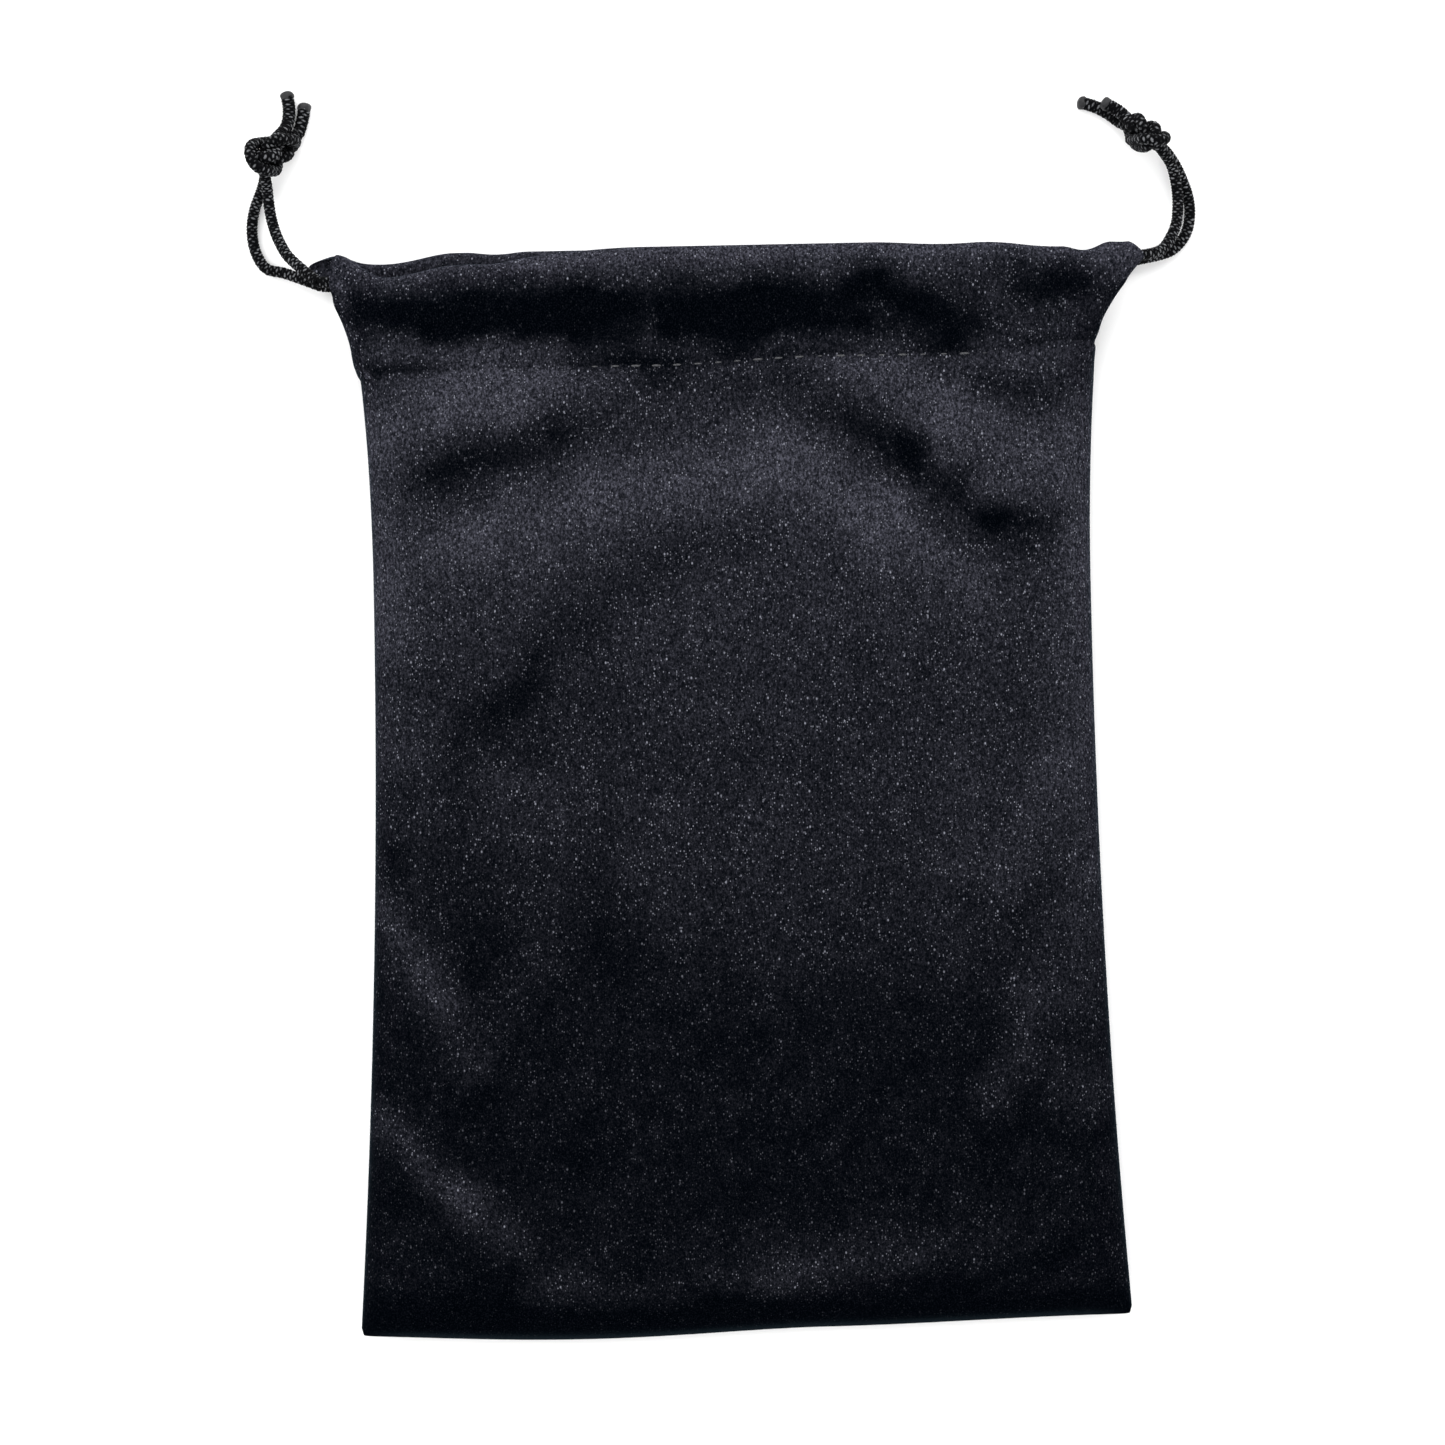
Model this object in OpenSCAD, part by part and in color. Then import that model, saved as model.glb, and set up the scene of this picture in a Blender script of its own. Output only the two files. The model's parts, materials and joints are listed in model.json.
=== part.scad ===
// Drawstring bag of velvet, lying flat: back panel on the floor, mouth towards +Y.
// Two drawcords run through the casings at the mouth, one pulled from each corner.

/* [Bag] */
// Width along the bottom seam
bottom_w = 127; // [120:0.5:132]
// Width at the waist, where the sides are drawn in most
waist_w = 118; // [114:0.5:119]
// Width at the hem stitching, and length of each casing tube
hem_w = 121; // [119.5:0.5:122]
// Length from the bottom seam to the edge of the mouth
bag_l = 177.8; // [170:0.2:200]
// Height over both casings as the bag lies flat
bag_h = 12; // [11.5:0.1:14]
// Thickness of the velvet
cloth_t = 0.7; // [0.5:0.05:0.7]

/* [Casing] */
// Depth of each casing, from its hem stitching to the mouth
casing_d = 18; // [16:0.5:20]
// Height of the channel that the cords slide in
channel_h = 2.1; // [2.1:0.05:2.3]
// How far each corner of the mouth stands out past the hem
ear_w = 7; // [6.8:0.1:8]

/* [Seams] */
// Width of the cloth turned inside along each seam
allowance_w = 6; // [4:0.5:8]
// Distance from one stitch to the next
stitch_pitch = 3.4; // [2.5:0.1:4]
// Length of one stitch
stitch_l = 2.2; // [1.5:0.1:2.4]
// Thickness of the sewing thread
thread_d = 0.4; // [0.2:0.05:0.5]

/* [Cords] */
// Diameter of each braided cord
cord_d = 1.8; // [1.5:0.1:1.8]
// Distance between the two cords inside one channel
cord_gap = 2.2; // [2.1:0.1:2.6]

/* [Hidden] */

velvet = "#16181f";
thread = "#2c2e34";
braid = "#0d0d10";
melted = "#3a3b3e";

// The bag's outline, seen from above
bottom_y = -bag_l / 2;
mouth_y = bag_l / 2;
hem_y = mouth_y - casing_d;
waist_y = 35;
panel_top_y = hem_y - 1;
outline_steps = 16;

// Heights of the casings' channels
casing_h = channel_h + 2 * cloth_t;
back_z = casing_h / 2;
front_z = bag_h - casing_h / 2;
lip_h = 2 * cloth_t;

// The front panel's mesh
puff_h = bag_h - 0.1;
rim_z = 2 * cloth_t;
across_n = 28;
along_n = 30;
bottom_round = 45;
edge_power_low = 3;
edge_power_high = 8;

// The cords
cord_r = cord_d / 2;
cord_sides = 8;
left_run_y = mouth_y - 2.8;
right_run_y = left_run_y - cord_gap;
run_end_x = hem_w / 2 + ear_w - 0.4;
hinge_x = run_end_x + 0.8;
bridge_r = (front_z - back_z) / 2;
bridge_x = run_end_x - bridge_r - cord_r - 0.1;
bridge_steps = 4;
tip_l = 1.2;

// Each free tail's route, from where it leaves its corner, through its knot, to its tip.
// x is the distance outwards past the corner, y is along the bag and z is above the floor.
left_front_route = [
    [0, 0, 10.2], [2, 0.6, 9.4], [3.8, 2.4, 7.4], [5.4, 4.8, 5.4], [6.6, 7.6, 4], [7.3, 10.4, 3.6],
    [7.6, 13, 4], [7.8, 15.6, 4.5], [7, 19, 4.5], [5.6, 22, 4.2], [4.6, 24.4, 3.2], [4.1, 26.4, 1.9],
    [4.1, 28.4, 1.1], [4.4, 30, 1]
];
left_back_route = [
    [0, 0, 1.8], [2.8, 0, 1.6], [5.6, 0.4, 1.2], [8.4, 1.8, 1], [10.2, 4.8, 0.9], [10.7, 8.4, 0.9],
    [10.2, 11.6, 1.2], [9.2, 14, 1.8], [8.4, 16, 2.6], [7, 18.8, 2.7], [4.6, 20.8, 2.2],
    [3, 22.6, 1.4], [2.2, 24.6, 1], [1.7, 26.6, 1], [1.6, 27.6, 1]
];
right_front_route = [
    [0, 0, 10.2], [1.8, 1.4, 9.4], [3.7, 3.1, 7.4], [5.6, 5.4, 5.4], [6.8, 8, 4.2], [7.2, 10.8, 3.4],
    [7.2, 13.4, 3.2], [6.8, 16, 3.4], [6, 18.4, 3.8], [4.2, 20.4, 4.1], [1.6, 22.8, 3.9],
    [-0.2, 25, 3.8], [-1.4, 26.4, 3.4], [-2.8, 27.6, 3.1], [-4.2, 28.4, 2.9]
];
right_back_route = [
    [0, 0, 1.8], [2.4, 1.4, 1.6], [5.2, 2.8, 1.2], [7.4, 4.9, 1], [8.9, 7.4, 0.9], [9.4, 10.4, 0.9],
    [9.1, 13.2, 1], [8.1, 16, 1.4], [6.9, 18.2, 1.8], [5.2, 20, 2.1], [2, 22.2, 2.1],
    [-0.8, 24.5, 1.7], [-2, 25.6, 1.4], [-3.2, 26.6, 1.2], [-4.8, 27.7, 1], [-6.6, 28.5, 1],
    [-8, 28.9, 1]
];

// Each knot: its centre, its length along the cord, its thickness and the way that it lies
left_knot_at = [7.1, 20.1, 3.6];
left_knot_size = [8.2, 7.2];
left_knot_turn = 60;
right_knot_at = [1.3, 22.4, 3];
right_knot_size = [8.6, 6];
right_knot_turn = 140;

// Half the width of the bag at a height y up its length
function half_w(y) =
    y < waist_y
        ? (waist_w + (bottom_w - waist_w) * pow((waist_y - y) / (waist_y - bottom_y), 2)) / 2
        : (waist_w + (hem_w - waist_w) * pow((y - waist_y) / (hem_y - waist_y), 2)) / 2;

function outline_y(i) = bottom_y + (panel_top_y - bottom_y) * i / outline_steps;

// A strip along one side, between two distances in from the edge: side is -1 at the left
function side_strip(y0, y1, near, far, side) =
    let (ys = [for (i = [0:outline_steps]) y0 + (y1 - y0) * i / outline_steps])
    concat(
        [for (y = ys) [side * (half_w(y) - near), y]],
        [for (i = [outline_steps:-1:0]) [side * (half_w(ys[i]) - far), ys[i]]]
    );

// How high the front panel stands along its length, and how squarely its sides drop
function rise_along(y) =
    let (t = min(1, (y - bottom_y) / bottom_round))
    sqrt(max(0, 1 - pow(1 - t, 3)));
function edge_power(y) =
    edge_power_low
    + (edge_power_high - edge_power_low) * pow(max(0, (y - waist_y) / (hem_y - waist_y)), 2);
function crown(y) =
    let (low = front_z + cloth_t / 2, t = max(0, (y - waist_y) / (panel_top_y - waist_y)))
    puff_h + (low - puff_h) * t * t;
function panel_z(u, y) =
    rim_z
    + (crown(y) - rim_z) * rise_along(y) * sqrt(max(0, 1 - pow(abs(u), edge_power(y))));

// One layer of the front panel's mesh, closer together towards the edges
function panel_layer(drop) = [
    for (j = [0:along_n], i = [0:across_n])
        let (
            y = bottom_y + (panel_top_y - bottom_y) * (1 - cos(90 * j / along_n)),
            u = sin(180 * i / across_n - 90)
        )
        [u * half_w(y), y, panel_z(u, y) - drop]
];

// Faces of a closed shell between two layers of across_n by along_n cells
function shell_faces() =
    let (row = across_n + 1, layer = row * (along_n + 1), last = row * along_n)
    concat(
        [for (j = [0:along_n - 1], i = [0:across_n - 1], k = [0, 1])
            let (a = j * row + i, b = a + 1, c = b + row, d = a + row)
            k == 0 ? [a, d, c, b] : [layer + a, layer + b, layer + c, layer + d]],
        [for (i = [0:across_n - 1]) [i, i + 1, layer + i + 1, layer + i]],
        [for (i = [0:across_n - 1])
            [last + i + 1, last + i, layer + last + i, layer + last + i + 1]],
        [for (j = [0:along_n - 1]) [(j + 1) * row, j * row, layer + j * row, layer + (j + 1) * row]],
        [for (j = [0:along_n - 1])
            let (a = j * row + across_n)
            [a, a + row, layer + a + row, layer + a]]
    );

// Sweep of a round cord along a route
function unit(v) = v / norm(v);
function heading(p, i) = unit(p[min(i + 1, len(p) - 1)] - p[max(i - 1, 0)]);
function cord_ring(p, i, up) =
    let (t = heading(p, i), side = unit(cross(t, up)), top = cross(side, t))
    [for (k = [0:cord_sides - 1])
        let (a = 360 * k / cord_sides)
        p[i] + cord_r * (cos(a) * side + sin(a) * top)];
module cord(route, up) {
    rings = len(route);
    points = [for (i = [0:rings - 1]) each cord_ring(route, i, up)];
    walls = [for (i = [0:rings - 2], k = [0:cord_sides - 1])
        let (a = i * cord_sides + k, b = i * cord_sides + (k + 1) % cord_sides)
        [a, a + cord_sides, b + cord_sides, b]];
    start = [for (k = [0:cord_sides - 1]) k];
    finish = [for (k = [cord_sides - 1:-1:0]) (rings - 1) * cord_sides + k];
    polyhedron(points, concat(walls, [start, finish]));
}

// A route past the corner, as points of the bag: side is -1 at the left and 1 at the right
function placed(route, side, run_y) =
    [for (p = route) [side * (hinge_x + p[0]), run_y + p[1], p[2]]];

module front_panel() {
    color(velvet)
    polyhedron(concat(panel_layer(0), panel_layer(cloth_t)), shell_faces());
}

module back_panel() {
    color(velvet)
    linear_extrude(cloth_t)
    polygon(concat(
        [for (i = [0:outline_steps]) [half_w(outline_y(i)), outline_y(i)]],
        [for (i = [outline_steps:-1:0]) [-half_w(outline_y(i)), outline_y(i)]]
    ));
}

// The outline of one casing's tube, in Y and Z, round its channel's middle
module stadium(low_y, high_y, h) {
    for (y = [low_y + h / 2, high_y - h / 2])
        translate([y, 0])
        circle(d = h, $fn = 32);
    translate([low_y + h / 2, -h / 2])
    square([high_y - low_y - h, h]);
}

// One corner of the mouth, where the outer cloth stands out past the tube
module ear_outline() {
    tip_x = hem_w / 2 + ear_w;
    tube_x = hem_w / 2;
    polygon([
        [tube_x, hem_y], [tube_x + 2.2, hem_y + 8], [tip_x, mouth_y - 4], [tip_x, mouth_y - 2],
        [tip_x - 3, mouth_y], [tube_x, mouth_y - 1]
    ]);
}

// A casing lying along X: the tube, the stitched lip below it, and an ear at each end
module casing(middle_z, lip_z, ear_z) {
    translate([-hem_w / 2, 0, middle_z])
    rotate([90, 0, 90])
    linear_extrude(hem_w)
    difference() {
        union() {
            stadium(hem_y + 1, mouth_y, casing_h);
            translate([panel_top_y, lip_z - middle_z - lip_h / 2])
            square([casing_h, lip_h]);
        }
        stadium(hem_y + 1 + cloth_t, mouth_y - cloth_t, channel_h);
    }
    for (side = [0, 1])
        mirror([side, 0, 0])
        translate([0, 0, ear_z])
        linear_extrude(cloth_t)
        ear_outline();
}

module front_casing() {
    color(velvet)
    casing(front_z, front_z, bag_h - cloth_t);
}

module back_casing() {
    color(velvet)
    casing(back_z, lip_h / 2, 0);
}

// A row of stitches along X or along Y, centred on the origin
module stitch_row(row_l, turn) {
    count = floor(row_l / stitch_pitch);
    for (i = [0:count - 1])
        rotate([0, 0, turn])
        translate([(i - (count - 1) / 2) * stitch_pitch - stitch_l / 2, 0, 0])
        rotate([0, 90, 0])
        cylinder(h = stitch_l, d = thread_d, $fn = 16);
}

module front_hem_stitching() {
    color(thread)
    translate([0, hem_y, front_z + lip_h / 2 + thread_d / 2])
    stitch_row(hem_w - 2, 0);
}

module back_hem_stitching() {
    color(thread)
    translate([0, hem_y, lip_h + thread_d / 2])
    stitch_row(hem_w - 2, 0);
}

// Cloth turned inside along one side, two plies thick, lying on the back panel
allowance_in = 1.2;
allowance_end = bottom_y + allowance_w + 0.5;
bottom_allowance_w = bottom_w - 2 * allowance_w - 2;
module side_allowance(side) {
    translate([0, 0, cloth_t])
    linear_extrude(lip_h)
    polygon(side_strip(allowance_end, panel_top_y - 0.5, allowance_in, allowance_w, side));
}

module left_seam_allowance() {
    color(velvet)
    side_allowance(-1);
}

module right_seam_allowance() {
    color(velvet)
    side_allowance(1);
}

module bottom_seam_allowance() {
    color(velvet)
    translate([-bottom_allowance_w / 2, bottom_y + allowance_in, cloth_t])
    cube([bottom_allowance_w, allowance_w - allowance_in, lip_h]);
}

// Thread along one side seam, following the curve of the edge
seam_z = cloth_t + lip_h + thread_d / 2;
module side_stitching(side) {
    count = floor((panel_top_y - allowance_end - stitch_pitch) / stitch_pitch);
    for (i = [0:count - 1])
        let (y = allowance_end + (i + 1) * stitch_pitch)
        translate([side * (half_w(y) - allowance_w / 2), y, seam_z])
        rotate([90, 0, 0])
        cylinder(h = stitch_l, d = thread_d, center = true, $fn = 16);
}

module left_seam_stitching() {
    color(thread)
    side_stitching(-1);
}

module right_seam_stitching() {
    color(thread)
    side_stitching(1);
}

module bottom_seam_stitching() {
    color(thread)
    translate([0, bottom_y + allowance_w / 2, seam_z])
    stitch_row(bottom_allowance_w, 0);
}

// One cord inside the bag: along the front channel, round the far corner, back along the back one
function run_route(side, y) = concat(
    [for (x = [-run_end_x, -run_end_x / 2, 0, run_end_x / 2]) [side * x, y, front_z]],
    [for (i = [0:bridge_steps])
        let (a = 90 - 180 * i / bridge_steps)
        [
            side * (bridge_x + bridge_r * cos(a)),
            y,
            (front_z + back_z) / 2 + bridge_r * sin(a)
        ]],
    [for (x = [run_end_x / 2, 0, -run_end_x / 2, -run_end_x]) [side * x, y, back_z]]
);

module left_cord_run() {
    color(braid)
    cord(run_route(1, left_run_y), [0, 1, 0]);
}

module right_cord_run() {
    color(braid)
    cord(run_route(-1, right_run_y), [0, 1, 0]);
}

module left_tail_front() {
    color(braid)
    cord(placed(left_front_route, -1, left_run_y), [0, 0, 1]);
}

module left_tail_back() {
    color(braid)
    cord(placed(left_back_route, -1, left_run_y), [0, 0, 1]);
}

module right_tail_front() {
    color(braid)
    cord(placed(right_front_route, 1, right_run_y), [0, 0, 1]);
}

module right_tail_back() {
    color(braid)
    cord(placed(right_back_route, 1, right_run_y), [0, 0, 1]);
}

// A tight knot as a round barrel, thick in the middle, lying along its cords
module knot(size, turn) {
    half_l = size[0] / 2;
    steps = 12;
    rotate([0, 0, turn])
    rotate([0, 90, 0])
    rotate_extrude($fn = 40)
    polygon([for (i = [0:steps])
        let (a = 180 * i / steps)
        [size[1] / 2 * pow(sin(a), 0.7), -half_l * cos(a)]]);
}

module left_knot() {
    color(braid)
    translate(placed([left_knot_at], -1, left_run_y)[0])
    knot(left_knot_size, left_knot_turn);
}

module right_knot() {
    color(braid)
    translate(placed([right_knot_at], 1, right_run_y)[0])
    knot(right_knot_size, right_knot_turn);
}

// The melted end of a cord: a short rounded stub that carries the route on past its last point
module tip(route) {
    last = len(route) - 1;
    way = heading(route, last);
    translate(route[last])
    rotate([0, acos(way[2]), atan2(way[1], way[0])])
    rotate_extrude($fn = 24)
    polygon([
        [0, 0], [cord_r, 0], [cord_r * 1.05, tip_l * 0.5], [cord_r * 0.7, tip_l * 0.9], [0, tip_l]
    ]);
}

module left_cord_tips() {
    color(melted) {
        tip(placed(left_front_route, -1, left_run_y));
        tip(placed(left_back_route, -1, left_run_y));
    }
}

module right_cord_tips() {
    color(melted) {
        tip(placed(right_front_route, 1, right_run_y));
        tip(placed(right_back_route, 1, right_run_y));
    }
}

front_panel();
back_panel();
front_casing();
back_casing();
front_hem_stitching();
back_hem_stitching();
left_seam_allowance();
right_seam_allowance();
bottom_seam_allowance();
left_seam_stitching();
right_seam_stitching();
bottom_seam_stitching();
left_cord_run();
left_tail_front();
left_tail_back();
left_knot();
left_cord_tips();
right_cord_run();
right_tail_front();
right_tail_back();
right_knot();
right_cord_tips();
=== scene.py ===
"""Looks of the drawstring dice bag, built around its CAD frame.

The bag lies on its back: +Y is the mouth end, +Z is up and X runs across.
Sizes are in millimetres until a mesh is made.
"""

import json
import math

import bpy
import numpy as np
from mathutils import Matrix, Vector


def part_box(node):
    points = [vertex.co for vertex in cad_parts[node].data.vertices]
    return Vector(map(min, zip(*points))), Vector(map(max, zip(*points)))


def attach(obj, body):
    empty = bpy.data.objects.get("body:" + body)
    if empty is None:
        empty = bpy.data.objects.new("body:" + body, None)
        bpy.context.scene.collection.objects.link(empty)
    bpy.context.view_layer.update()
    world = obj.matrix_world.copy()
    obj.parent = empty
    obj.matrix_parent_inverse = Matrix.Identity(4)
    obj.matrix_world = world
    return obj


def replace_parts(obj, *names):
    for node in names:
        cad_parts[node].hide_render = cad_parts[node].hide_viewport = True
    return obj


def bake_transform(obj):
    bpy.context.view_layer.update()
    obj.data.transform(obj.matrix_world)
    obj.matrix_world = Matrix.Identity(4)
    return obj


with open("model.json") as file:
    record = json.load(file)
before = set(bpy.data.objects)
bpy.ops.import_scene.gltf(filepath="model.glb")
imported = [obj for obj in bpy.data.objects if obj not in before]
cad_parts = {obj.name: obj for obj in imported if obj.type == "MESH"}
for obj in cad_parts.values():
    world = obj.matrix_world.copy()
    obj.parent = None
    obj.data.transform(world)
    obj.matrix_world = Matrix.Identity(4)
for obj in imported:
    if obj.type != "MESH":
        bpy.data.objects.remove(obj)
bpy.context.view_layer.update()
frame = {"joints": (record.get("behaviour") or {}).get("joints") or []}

MM = 0.001


def joint_at(name):
    """Where a joint of the CAD frame stands, in millimetres."""
    joint = next(j for j in frame["joints"] if j["name"] == name)
    return [v / MM for v in joint["pos_m"]]


# The bag's outline, from the frame and as in the CAD source
BOTTOM_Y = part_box("front_panel")[0].y / MM
HEM_Y = sum(corner.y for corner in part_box("front_hem_stitching")) / 2 / MM
MOUTH_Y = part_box("front_casing")[1].y / MM + 0.4
WAIST_Y = 35.0
BOTTOM_W, WAIST_W, HEM_W = 127.0, 118.0, 121.0
CLOTH_T = 0.8                        # the velvet with its pile
STITCH_PITCH, STITCH_L, THREAD_R = 3.4, 2.3, 0.2

# The cords
CORD_R = 0.9
LEFT_RUN_Y = joint_at("left_tail_swing")[1]
RIGHT_RUN_Y = joint_at("right_tail_swing")[1]
HINGE_X = joint_at("right_tail_swing")[0]
RUN_END_X = HINGE_X - 0.8
FRONT_Z, BACK_Z = 10.25, 1.75        # its height in the front casing and in the back one
BRIDGE_X, BRIDGE_OUT = 60.4, 1.5     # where it turns from one to the other, and how far that turn bulges
BRAID_IN, BRAID_DEPTH = 0.12, 0.18   # how far the braid's gaps lie inside CORD_R, and its strands' height
END_SWELL = 0.15                     # how much thicker a free end is near its tip, as a share
SWELL_FROM, SWELL_OVER = 10, 4       # it starts this far before the tip and is full after this length
KNOT_CLEAR = 3.9                     # the route's own points stop this far from the knot's centre
KNOT_REACH = 2.4                     # and the knot's strands this far from it, along the cord's way

# Routes of the free ends: outward past the hinge, along the bag from the run, above the floor
LEFT_FRONT = [(0, 0, 10.2), (2, 0.6, 9.4), (3.8, 2.4, 7.4), (5.4, 4.8, 5.4), (6.6, 7.6, 4),
              (7.3, 10.4, 3.6), (7.6, 13, 4), (7.8, 15.6, 4.5), (7, 19, 4.5), (5.6, 22, 4.2),
              (4.6, 24.4, 3.2), (4.1, 26.4, 1.9), (4.1, 28.4, 1.1), (4.4, 30, 1)]
LEFT_BACK = [(0, 0, 1.8), (2.8, 0, 1.6), (5.6, 0.4, 1.2), (8.4, 1.8, 1), (10.2, 4.8, 0.9),
             (10.7, 8.4, 0.9), (10.2, 11.6, 1.2), (9.2, 14, 1.8), (8.4, 16, 2.6), (7, 18.8, 2.7),
             (4.6, 20.8, 2.2), (3, 22.6, 1.4), (2.2, 24.6, 1), (1.7, 26.6, 1), (1.6, 27.6, 1)]
RIGHT_FRONT = [(0, 0, 10.2), (1.8, 1.4, 9.4), (3.7, 3.1, 7.4), (5.6, 5.4, 5.4), (6.8, 8, 4.2),
               (7.2, 10.8, 3.4), (7.2, 13.4, 3.2), (6.8, 16, 3.4), (6, 18.4, 3.8), (4.2, 20.4, 4.1),
               (1.6, 22.8, 3.9), (-0.2, 25, 3.8), (-1.4, 26.4, 3.4), (-2.8, 27.6, 3.1),
               (-4.2, 28.4, 2.9)]
RIGHT_BACK = [(0, 0, 1.8), (2.4, 1.4, 1.6), (5.2, 2.8, 1.2), (7.4, 4.9, 1), (8.9, 7.4, 0.9),
              (9.4, 10.4, 0.9), (9.1, 13.2, 1), (8.1, 16, 1.4), (6.9, 18.2, 1.8), (5.2, 20, 2.1),
              (2, 22.2, 2.1), (-0.8, 24.5, 1.7), (-2, 25.6, 1.4), (-3.2, 26.6, 1.2), (-4.8, 27.7, 1),
              (-6.6, 28.5, 1), (-8, 28.9, 1)]


# ---------------------------------------------------------------- small tools

def smooth(t):
    """0 before t = 0, 1 after t = 1, and a soft step between."""
    t = np.clip(t, 0, 1)
    return t * t * (3 - 2 * t)


def unit(v):
    return v / np.maximum(np.linalg.norm(v, axis=-1, keepdims=True), 1e-9)


def line_length(points):
    return np.linalg.norm(np.diff(points, axis=0), axis=1).sum()


def spaced(points, step):
    """The same line with points an even step apart."""
    points = np.asarray(points, float)
    along = np.concatenate([[0], np.cumsum(np.linalg.norm(np.diff(points, axis=0), axis=1))])
    count = max(3, int(round(along[-1] / step)) + 1)
    at = np.linspace(0, along[-1], count)
    return np.stack([np.interp(at, along, points[:, k]) for k in range(3)], 1)


def evenly(line, count):
    """The same line with that many points, an even step apart."""
    return spaced(line, line_length(line) / (count - 1))[:count]


def curve_through(points, step=0.2):
    """A smooth curve through given points, by Catmull-Rom."""
    p = np.asarray(points, float)
    p = np.concatenate([[2 * p[0] - p[1]], p, [2 * p[-1] - p[-2]]])
    t = np.linspace(0, 1, 12, endpoint=False)[:, None]
    parts = []
    for a, b, c, d in zip(p[:-3], p[1:-2], p[2:-1], p[3:]):
        parts.append(b + t * (c - a) / 2 + t**2 * (a - 2.5 * b + 2 * c - d / 2)
                     + t**3 * (1.5 * (b - c) + (d - a) / 2))
    return spaced(np.concatenate(parts + [p[-2:-1]]), step)


def softened(points, turns, step=0.25):
    """The line with its kinks smoothed out, its ends held."""
    p = spaced(points, step)
    for _ in range(turns):
        p[1:-1] += 0.5 * ((p[:-2] + p[2:]) / 2 - p[1:-1])
    return spaced(p, step)


def make_mesh(name, points, faces, material, normals=None):
    """A smooth-shaded mesh object in metres from points in millimetres."""
    mesh = bpy.data.meshes.new(name)
    mesh.from_pydata((np.asarray(points) * MM).tolist(), [], faces)
    mesh.shade_smooth()
    mesh.materials.append(material)
    obj = bpy.data.objects.new(name, mesh)
    bpy.context.scene.collection.objects.link(obj)
    if normals is not None:
        mesh.normals_split_custom_set_from_vertices(np.asarray(normals).tolist())
    store(mesh, "rest", "FLOAT_VECTOR", points)
    return obj


def store(mesh, name, kind, values):
    """Writes one value for each vertex, for the materials to read."""
    attribute = mesh.attributes.new(name, kind, "POINT")
    field = "vector" if kind == "FLOAT_VECTOR" else "value"
    attribute.data.foreach_set(field, np.asarray(values, np.float32).ravel())


def grid_faces(rows, columns, wrap=False, first=0, flip=False):
    """Quads of a grid of vertices, row after row. wrap joins the last column to the first."""
    faces = []
    last = columns if wrap else columns - 1
    for r in range(rows - 1):
        for c in range(last):
            d = (c + 1) % columns
            a, b = first + r * columns + c, first + r * columns + d
            e, f = b + columns, a + columns
            faces.append((a, f, e, b) if flip else (a, b, e, f))
    return faces


# ---------------------------------------------------------------- materials

class Nodes:
    """A short way to write a material's node tree."""

    def __init__(self, name, **surface):
        self.material = bpy.data.materials.new(name)
        self.material.use_nodes = True
        self.tree = self.material.node_tree
        self.shader = self.tree.nodes["Principled BSDF"]
        for socket, value in surface.items():
            self.shader.inputs[socket.replace("_", " ")].default_value = value

    def add(self, kind, inputs=None, out=0, **settings):
        node = self.tree.nodes.new("ShaderNode" + kind)
        for key, value in settings.items():
            setattr(node, key, value)
        for key, value in (inputs or {}).items():
            self.plug(value, node.inputs[key])
        return node.outputs[out]

    def plug(self, value, socket):
        if isinstance(value, bpy.types.NodeSocket):
            self.tree.links.new(value, socket)
        else:
            socket.default_value = value

    def math(self, operation, a, b=0.0, clamp=False):
        return self.add("Math", {0: a, 1: b}, operation=operation, use_clamp=clamp)

    def ramp(self, value, low, high, to_low=0.0, to_high=1.0):
        """A soft step of value from low to high."""
        return self.add("MapRange", {0: value, 1: low, 2: high, 3: to_low, 4: to_high},
                        interpolation_type="SMOOTHSTEP")

    def mix(self, factor, a, b):
        return self.add("Mix", {0: factor, 6: a, 7: b}, out=2, data_type="RGBA")

    def scaled(self, vector, scale):
        return self.add("Mapping", {0: vector, 3: scale})

    def attribute(self, name, out=1):
        return self.add("Attribute", out=out, attribute_name=name)

    def noise(self, vector, scale=1.0, detail=2.0, rough=0.5):
        settings = {"Vector": vector, "Scale": scale, "Detail": detail, "Roughness": rough}
        return self.add("TexNoise", settings)

    def painted_glint_mask(self, vector, scale, rare):
        """Where painted glints go: scattered points of uneven strength, in those cells whose chance is
        above rare.
        """
        where = {"Vector": self.scaled(vector, scale), "Scale": 1.0}
        chance = self.add("SeparateColor", {0: self.add("TexVoronoi", where, out=1)})
        near = self.ramp(self.add("TexVoronoi", where), 0.42, 0.1)
        return self.math("MULTIPLY", near, self.ramp(chance, rare, 1.0))

    def bump(self, height, strength, distance):
        normal = self.add("Bump", {"Strength": strength, "Distance": distance, "Height": height})
        self.plug(normal, self.shader.inputs["Normal"])

    def colour(self, value):
        self.plug(value, self.shader.inputs["Base Color"])


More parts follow.
